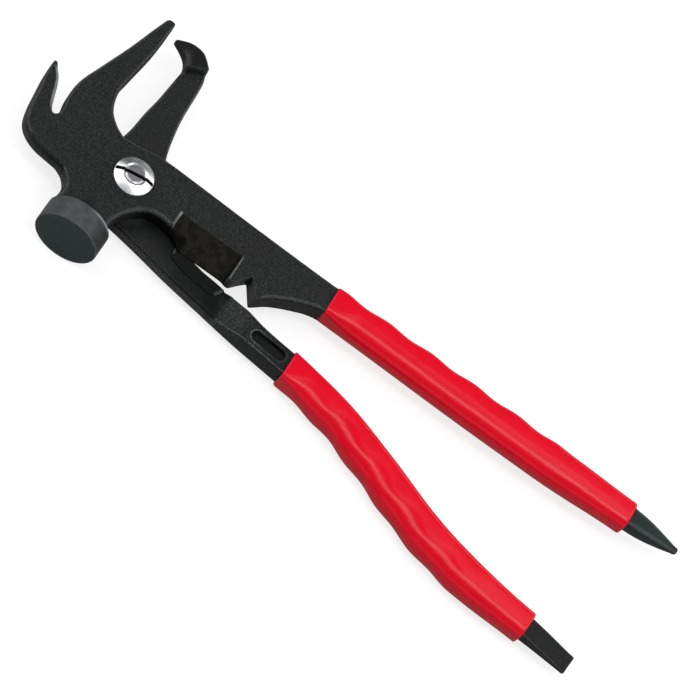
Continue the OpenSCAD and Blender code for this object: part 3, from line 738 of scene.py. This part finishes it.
# painted shadow of the hammer lever, on the face just under the arch
arch_shadow = 0.95 * bell(nearest(hook_xy, curve(arch_edge)), 5) * (hy < 0)
# darker faces of the arm, claw, oval and driver, with painted shade under the arch and a painted
# shadow line along the land's edge
facet = np.maximum.reduce([
    arm_dark * (1 - step_up(hx, 45.8, 46.3)) * (hz > -2.6) * (hy < -8) * (1 - land),
    arch_shadow * (1 - land),
    (nearest(hook_xy, land_edge + 0.1 * land_out) < 0.12) * band(hz, -0.75, -0.2),
    0.6 * (beyond > 1.3) * (hz > 2.7) * by_claw,
    0.8 * (oval > 0.15) * (hz > 0.5) * by_pad,
    0.35 * step_up(hx, 179, 181),
    0.6 * step_up(hx, 46, 46.4) * (hy < 0) * (hx < GRIP_X) * (hz > -2)])
# painted highlights at the land's ends, the oval's rim, the claw's inner wall, cheek and step
# line, and painted light on the arm's shaded wall
land_corners = np.vstack([land_edge[14:22], land_edge[-26:-6]])
land_ends = (nearest(hook_xy, land_corners) < 0.2) * (hz > -0.4) * (hx < 60)
oval_rim = 1.8 * bell(oval + 0.1, 0.1) * (hz > 1.5) * by_pad * (1 - 0.75 * step_up(hx, 59, 64))
oval_shade = 0.9 * (hz > 0) * band(oval, 0.02, 0.4) * by_pad * (hy > OVAL_Y + 0.6)
arm_wall = band(hx, 2, 47) & (hy < -12) & band(hz, -5.4, -1.6)
claw_inside = (hx < -4) & (hy > 44) & (nearest(hook_xy, curve(outer_edge[-12:])) < 0.9)
inner_wall = claw_inside * (hz < 2.95) * bell(hy - 48.6, 1.5)
claw_cheek = bell(nearest(hook_xy, curve([(-8.7, 52.8), (-6.7, 48.3)])), 1.0) * (hz > 2.6)
step_line = band(beyond, 1.2, 1.5) & (hz > 2.6) & by_claw
ragged = 1 + 0.5 * np.sin(2.9 * hx) * np.sin(1.3 * hx + 1) + 0.3 * np.sin(7.1 * hx)
hook_wear_and_highlight = hook_wear_and_highlight * np.where(band(hx, 0, 46) & (hy < -11), 0.05, 1)
hook_wear_and_highlight = np.maximum(hook_wear_and_highlight, 0.6 * arm_wall)
# rubbing with painted highlight, ragged along the pad's lower edge and strong along the main jaw's
# right edge
for where, share in ((band(hx, 46, GRIP_X) & (hy < -18), 1.6 * ragged), (claw_inside, 0),
                     ((hx > -3) & (hy > 20) & (beyond < 1.5), 2.0)):
    hook_wear_and_highlight = hook_wear_and_highlight * np.where(where, share, 1)
hook_wear_and_highlight = np.maximum.reduce([hook_wear_and_highlight, 1.1 * land_ends, oval_rim, 0.7 * inner_wall,
                               0.55 * step_line, 0.8 * claw_cheek])
grit_fade = 1 - 0.5 * step_up(hx, 54.5, 56) - 0.5 * step_up(hx, 62, 68)
on_pad = (hy < 0) * (hz > 1.4 - 4.4 * np.clip((TILT_END - hx) / TILT_RUN, 0, 1))
pitted = (0.32 + 0.3 * (oval > 0.15)) * step_up(hx, 45.9, 46.4) * grit_fade * on_pad
hook = finished("hook_lever_forging", [
    (hook_v, hook_f, dict(worn=hook_wear_and_highlight, ground=land, facet=facet, pitted=pitted,
                          grooved=oval_shade))])
hook.data.materials.append(forged_steel("hook_lever_steel", [
    ("ground", (0.0085, 0.0103, 0.0103), (0.0065, 0.008, 0.0078), 0.45, 0.08),
    # darker facets, with painted shade
    ("facet", (0.0055, 0.0068, 0.0064), (0.004, 0.005, 0.0046), 0.5, 0.12),
    # painted shade
    ("grooved", (0.001, 0.0016, 0.0013), (0.001, 0.0013, 0.001), 0.7, 0.05)]))
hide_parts("hook_lever")
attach(hook, "hook_side")


# Pivot bolt
# Plated steel. Its flat head lies on the hook lever's back, and its threaded end comes up
# flush through the nut, cut across by the same driver slot.

NUT_T = 3.0
NUT_TOP = LEVER_T + NUT_T
SLOT_W, SLOT_DEPTH, SLOT_TURN = 1.2, 1.4, math.radians(10)
END_R, END_LOW = 3.2, 0.12
SHANK_R, HEAD_R, HEAD_GAP = 4, 6.49, 0.15


def in_slot(x, y):
    """1 between the slot's walls, 0 outside them, over a hair's width."""
    across = np.abs(y * math.cos(SLOT_TURN) - x * math.sin(SLOT_TURN))
    return np.clip((SLOT_W / 2 + 0.03 - across) / 0.06, 0, 1)


def painted_slot_shade(v):
    """1 on the slot's floor and lower walls, where the plating is painted dark as shade."""
    high = v[:, 2] < NUT_TOP - 0.35
    return (in_slot(v[:, 0], v[:, 1]) > 0.5) * high * (np.hypot(v[:, 0], v[:, 1]) < 6.45) * 1.0


def slot_creases(reach, spacing=0.2):
    """Lines along both edges of each of the slot's walls."""
    along = np.array([math.cos(SLOT_TURN), math.sin(SLOT_TURN)])
    over = np.array([-along[1], along[0]])
    return [([tuple(-reach * along + o * over), tuple(reach * along + o * over)], spacing)
            for o in (-0.64, -0.56, 0.56, 0.64)]


def circle(r, sides, clockwise=False):
    """Loop of a circle about the pivot axis."""
    a = np.linspace(0, 2 * np.pi, sides, endpoint=False) * (-1 if clockwise else 1)
    return np.stack([r * np.cos(a), r * np.sin(a)], 1)


def level(z):
    """Flat face at this height."""
    return lambda x, y: np.full(np.shape(x), z)


def end_top(x, y):
    """Flat end with a chamfer, lowered in the slot."""
    chamfer = np.clip(np.hypot(x, y) - END_R + 0.55, 0, None) * 0.6
    return NUT_TOP - END_LOW - chamfer - in_slot(x, y) * (SLOT_DEPTH - END_LOW)


end_v, end_f, _ = relief_plate([circle(END_R, 160)], [0.06], end_top, level(5.0),
                               slot_creases(END_R), cell=0.4, steps=3)
head_low, head_high = 0.03 - LAP_Z, -LEVER_T - HEAD_GAP
shank_v, shank_f = turned_shell([
    (0, head_low), (HEAD_R - 1, head_low), (HEAD_R - 0.6, head_low + 0.04),
    (HEAD_R - 0.15, head_low + 0.4), (HEAD_R, head_low + 0.8), (HEAD_R, head_high - 0.15),
    (HEAD_R - 0.15, head_high), (SHANK_R, head_high), (SHANK_R, 5.4), (END_R, 5.4),
    (END_R, 6.6), (0, 6.6)])
bare_end = (np.hypot(end_v[:, 0], end_v[:, 1]) < END_R - 0.3).astype(float)
bolt = finished("bolt", [(shank_v, shank_f, {}),
                         (end_v, end_f, dict(dull=bare_end, grime=painted_slot_shade(end_v)))])


def plated(name, tint, roughness):
    """Bright plating, with tiny scratches that stretch its highlights. Where the mesh has a
    dull attribute it is bare, rough steel, and where its slot mask marks painted shade it is dark."""
    bare, slot_shade_tint = (0.32, 0.32, 0.33, 1), (0.006, 0.006, 0.007, 1)
    material, tree, shader = new_material(name)
    grit = noise(tree, object_place(tree), 2200.0, 3.0, 0.7)
    dull, grime = painted(tree, "dull"), painted(tree, "grime")
    rough = stretched(tree, grit, 0.0, 1.0, roughness * 0.7, roughness * 1.3)
    rough = mixed(tree, grime, mixed(tree, dull, rough, 0.5), 0.7)
    colour = mixed(tree, grime, mixed(tree, dull, (*tint, 1), bare), slot_shade_tint)
    bump = add_node(tree, "ShaderNodeBump", {
        "Height": grit, "Distance": 0.0001,
        "Strength": maths(tree, "MULTIPLY_ADD", dull, 0.6, 0.005)})
    set_sockets(tree, shader, {"Metallic": 1.0, "Base Color": colour, "Roughness": rough,
                               "Normal": bump.outputs["Normal"]})
    return material


bolt.data.materials.append(plated("bolt_plating", (0.72, 0.73, 0.75), 0.2))
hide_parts("pivot_bolt")
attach(bolt, "hammer_side")


# Pivot nut
# A low domed nut, brightly plated, turned down on the bolt until its slot lines up with the
# bolt's. Its bore has a bright chamfer round the bolt's end.

NUT_R, CROWN_R, RIM_T, BORE_R = 6.69, 3.9, 1.45, 3.3


def nut_top(x, y):
    """Power curve from the rim up to the flat crown, a chamfer into the bore, and the slot."""
    r = np.hypot(x, y)
    t = np.clip((r - CROWN_R) / (NUT_R - CROWN_R), 0, 1)
    dome = LEVER_T + RIM_T + (NUT_T - RIM_T) * (1 - t ** 1.1)
    dome = dome - np.clip(BORE_R + 0.65 - r, 0, None) * 0.75
    return dome - in_slot(x, y) * np.clip(dome - (NUT_TOP - SLOT_DEPTH), 0, None)


rings = [(circle(r, 200), 0.18) for r in (3.95, 6.3, 6.42, 6.52)]
nut_v, nut_f, _ = relief_plate(
    [circle(NUT_R, 260), circle(BORE_R, 140, clockwise=True)], [0.12, 0.06],
    nut_top, level(LEVER_T + 0.05), slot_creases(NUT_R, 0.12) + rings, cell=0.24, steps=3)
nut = finished("domed_nut", [(nut_v, nut_f, dict(grime=painted_slot_shade(nut_v)))])
nut.data.materials.append(plated("nut_plating", (0.86, 0.87, 0.89), 0.3))
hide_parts("pivot_nut")
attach(nut, "hammer_side")


# Upper grip
# Red vinyl, dipped over the straight handle. Its outer side has five shallow finger waves, and
# its mouth is drawn in to a thin lip round the steel.

GRIP_WALL = 1.0
WAVE_RUN, WAVE_DEPTH = 16.9, 0.35


def rounded_section(left, right, half_t, widths, heights, count=64):
    """Points round a rectangle, from its left side upwards: each corner is a quarter ellipse
    of its own width and height (left top, right top, right bottom, left bottom), and straight
    runs join them, as arrays of (across, up)."""
    left, right, half_t, *corners = (np.atleast_1d(v)[:, None] for v in
                                     np.broadcast_arrays(left, right, half_t, *widths, *heights))

    def by_corner(*four):
        return np.repeat(np.hstack(four), count // 4, axis=1)

    quarter = np.tile(np.linspace(0, 90, count // 4), 4)
    a = np.radians(quarter + np.repeat([0, 90, 180, 270], count // 4))[None]
    side = by_corner(left, -right, -right, left)
    height_at = by_corner(half_t, half_t, -half_t, -half_t)
    width, height = by_corner(*corners[:4]), by_corner(*corners[4:])
    return np.stack([side - np.sign(side) * width + width * np.cos(a),
                     height_at - np.sign(height_at) * height + height * np.sin(a)], 2)


def dipped_grip(name, path, side, steel_w, steel_t, mid_z, wave_start, swell_w, end_w, end_t,
                corner_w, corner_h, skew=0.0, lead=0.0, ridge_wave=0.0):
    """Closed sleeve along a path. Rings of rounded rectangles run from the mouth to the far
    end outside, and back again inside, against the steel. The outer side, left of the path
    where side is 1, carries the waves: a cosine of the path's length that fades out. The
    inner side swells in the middle. The mouth's plane leans by the skew and comes
    forward by the lead."""
    run = np.concatenate([[0], np.cumsum(np.linalg.norm(np.diff(path, axis=0), axis=1))])
    total = run[-1]
    at = np.concatenate([[0, 0.08, 0.25, 0.5, 0.8], np.linspace(1.2, total - 1.5, 260),
                         total - np.array([1.15, 0.8, 0.5, 0.25, 0.08, 0])])
    centre = np.stack([np.interp(at, run, path[:, 0]), np.interp(at, run, path[:, 1])], 1)
    step = np.gradient(centre, at, axis=0)
    step /= np.linalg.norm(step, axis=1)[:, None]
    over = np.stack([-step[:, 1], step[:, 0]], 1) * side
    lip = (0.45 * (1 - np.sqrt(1 - np.clip(1 - at / 0.7, 0, 1) ** 2))
           + 0.5 * (1 - np.sqrt(1 - np.clip(1 - (total - at) / 0.8, 0, 1) ** 2)))
    to_end = step_up(at, 0.75 * total, total)
    wave = -WAVE_DEPTH * np.cos(2 * np.pi * (at - wave_start) / WAVE_RUN) * (
        1 - step_up(at, 0.7 * total, 0.82 * total))
    thin = 0.35 * bell(at, 5)
    swell = swell_w * hump(at, 0, 0.55 * total, 0.7 * total, total)
    width = steel_w / 2 + GRIP_WALL - thin - 0.6 * to_end - lip
    half_t = steel_t / 2 + GRIP_WALL - 0.4 * thin - 0.6 * to_end - lip
    narrow = 0.75 + 0.25 * step_up(at, 0, 9) - 0.25 * to_end
    wide = 0.45 + 0.55 * step_up(at, 0, 12) - 0.25 * to_end
    widths, heights = ([v * (wide if v > 4 else narrow) - lip for v in corners]
                       for corners in (corner_w, corner_h))
    widths[0] = widths[0] - ridge_wave * wave
    outside = rounded_section(width + wave, width + swell, half_t, widths, heights)
    steel_half_w, steel_half_t = (
        np.interp(at, [0, 3, total], [size / 2, size / 2 - 0.6, end / 2]) - 0.02
        for size, end in ((steel_w, end_w), (steel_t, end_t)))
    within = rounded_section(steel_half_w, steel_half_w, steel_half_t, [0.7] * 4, [0.7] * 4)
    back = slice(None, None, -12)
    section, spine, sideways, forward, reach = (
        np.concatenate([out, home[back]]) for out, home in (
            (outside, within), (centre, centre), (over, over), (step, step), (at, at)))
    slant = (1 - step_up(reach, 0, 14))[:, None, None] * (skew * section[..., :1] - lead)
    verts = np.concatenate([spine[:, None] + sideways[:, None] * section[..., :1]
                            + forward[:, None] * slant, mid_z + section[..., 1:]], 2)
    n, m = verts.shape[:2]
    here = np.arange(n * m).reshape(n, m)
    ahead, beside_it = np.roll(here, -1, 0), np.roll(here, -1, 1)
    quads = np.stack([here, beside_it, np.roll(ahead, -1, 1), ahead], -1).reshape(-1, 4)
    if side < 0:
        quads = quads[:, ::-1]
    return finished(name, [(verts.reshape(-1, 3), quads.tolist(), {})], smooth_angle=60)


def dipped_vinyl(name):
    """Glossy red vinyl: an even colour, a slightly uneven gloss and a faint orange-peel skin."""
    deep, pale = (0.8464, 0.00368, 0.02024, 1), (0.96, 0.00424, 0.02332, 1)
    material, tree, shader = new_material(name)
    skin = noise(tree, object_place(tree), 130.0, 2.0, 0.5)
    bump = add_node(tree, "ShaderNodeBump", {"Height": skin, "Strength": 0.25,
                                             "Distance": 0.0006})
    set_sockets(tree, shader, {
        "Base Color": mixed(tree, skin, deep, pale), "Specular IOR Level": 0.24,
        "Roughness": stretched(tree, skin, 0.0, 1.0, 0.18, 0.26),
        "Normal": bump.outputs["Normal"]})
    return material


upper_path = curve([(GRIP_X, FRONT_MID_Y), (FRONT_GRIP_END, FRONT_MID_Y)], 1.0)
upper_grip = dipped_grip(
    "upper_dipped_grip", upper_path, side=1, steel_w=9.6, steel_t=LEVER_T - FRONT_UNDER,
    mid_z=FRONT_MID_Z, wave_start=11, swell_w=0.9, end_w=6.6, end_t=5.5,
    corner_w=(3.0, 6.8, 3.1, 3.4), corner_h=(3.0, 4.6, 3.1, 3.4))
upper_grip.data.materials.append(dipped_vinyl("upper_grip_vinyl"))
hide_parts("upper_grip")
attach(upper_grip, "hammer_side")


# Lower grip
# The same dipped vinyl on the curved handle, a little thicker at its sides, with its waves on
# the other side.

REAR_OVER = 2.0
lower_path = rear_path[(rear_path[:, 0] >= GRIP_X) & (rear_path[:, 0] <= GRIP_X + REAR_GRIP_RUN)]
lower_grip = dipped_grip(
    "lower_dipped_grip", lower_path, side=-1, steel_w=9.5, steel_t=LEVER_T + REAR_OVER,
    mid_z=(REAR_OVER - LEVER_T) / 2, wave_start=8, swell_w=1.25, end_w=7.2, end_t=4.2,
    corner_w=(6.8, 3.2, 3.4, 3.1), corner_h=(4.6, 3.2, 3.4, 3.1), skew=0.17, lead=1.3,
    ridge_wave=3.0)
lower_grip.data.materials.append(dipped_vinyl("lower_grip_vinyl"))
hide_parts("lower_grip")
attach(lower_grip, "hook_side")


# Stage
# A white floor that the tool lies on, soft lamps, and a camera that looks down at the tool as
# the photograph does.

FLOOR_MID = 0.08
bpy.ops.mesh.primitive_plane_add(size=6, location=(FLOOR_MID, 0, 0))
floor = bpy.context.object
floor.name = "floor"
floor.data.transform(Matrix.Translation((FLOOR_MID, 0, 0)))
floor.location = (0, 0, 0)
paper, tree, shader = new_material("white_paper")
rays = add_node(tree, "ShaderNodeLightPath")
# the paper glows white for the camera, and weakly in what mirrors it, as between dark flags
white = maths(tree, "MULTIPLY", rays.outputs["Is Camera Ray"], 0.79)
mirrored = maths(tree, "MAXIMUM", rays.outputs["Is Glossy Ray"],
                 rays.outputs["Is Transmission Ray"])
set_sockets(tree, shader, {
    "Base Color": (0.34, 0.34, 0.34, 1), "Roughness": 0.9, "Specular IOR Level": 0.0,
    "Emission Color": (1, 1, 1, 1),
    "Emission Strength": maths(tree, "MULTIPLY_ADD", mirrored, 0.26, white)})
floor.data.materials.append(paper)

world = bpy.data.worlds.new("studio")
bpy.context.scene.world = world
world.use_nodes = True
sky = world.node_tree.nodes["Background"]
sky.inputs["Color"].default_value = (0.9, 0.95, 1.0, 1)
sky.inputs["Strength"].default_value = 0.08

view_tilt, view_azimuth, view_roll = (math.radians(v) for v in (33.2, -11.0, 44.8))
heading = np.array([math.sin(view_azimuth), -math.cos(view_azimuth), 0])
view_back = heading * math.sin(view_tilt) + np.array([0, 0, math.cos(view_tilt)])
level_right = np.array([math.cos(view_azimuth), math.sin(view_azimuth), 0])
level_up = np.cross(view_back, level_right)
view_right = math.cos(view_roll) * level_right + math.sin(view_roll) * level_up
view_up = -math.sin(view_roll) * level_right + math.cos(view_roll) * level_up
VIEW_TARGET = np.array([86.3, -4.6, 5.0 + LAP_Z]) * MM
VIEW_DISTANCE = 0.914


def placed(right, up, back, at):
    """Matrix with these three axes and this place."""
    matrix = Matrix.Identity(4)
    for k, axis in enumerate((right, up, back, at)):
        for row in range(3):
            matrix[row][k] = float(axis[row])
    return matrix


def in_studio(name, data, matrix):
    """Object with these data, linked to the scene at this place."""
    piece = bpy.data.objects.new(name, data)
    bpy.context.scene.collection.objects.link(piece)
    piece.matrix_world = matrix
    return piece


camera_data = bpy.data.cameras.new("camera")
camera_data.lens = 150
camera_data.sensor_width = 36
bpy.context.scene.camera = in_studio("camera", camera_data, placed(
    view_right, view_up, view_back, VIEW_TARGET + VIEW_DISTANCE * view_back))


def soft_lamp(name, toward, away, width, height, power):
    """Flat lamp in this direction from the tool's middle, that far away, and facing it. Its
    width lies level."""
    light = bpy.data.lights.new(name, "AREA")
    light.shape = "RECTANGLE"
    light.size, light.size_y = width, height
    light.energy = power
    back = np.array(toward, float)
    back /= np.linalg.norm(back)
    right = np.cross([0, 0, 1], back)
    right /= np.linalg.norm(right)
    in_studio(name, light, placed(right, np.cross(back, right), back, VIEW_TARGET + away * back))


soft_lamp("left_softbox", (-0.72, 0.15, 0.68), 1.3, 1.4, 1.2, 8.4)
soft_lamp("right_softbox", (0.6, 0.15, 0.78), 1.3, 1.2, 1.3, 7.2)
soft_lamp("front_softbox", (0.12, -0.9, 0.35), 1.3, 2.0, 0.6, 2.1)
soft_lamp("ridge_softbox", (0, -0.2, 0.98), 1.3, 1.2, 0.32, 4.8)
soft_lamp("back_strip", (0.5, 0.8, 0.33), 1.2, 0.6, 0.25, 1.5)

bpy.context.scene.view_settings.view_transform = "Standard"
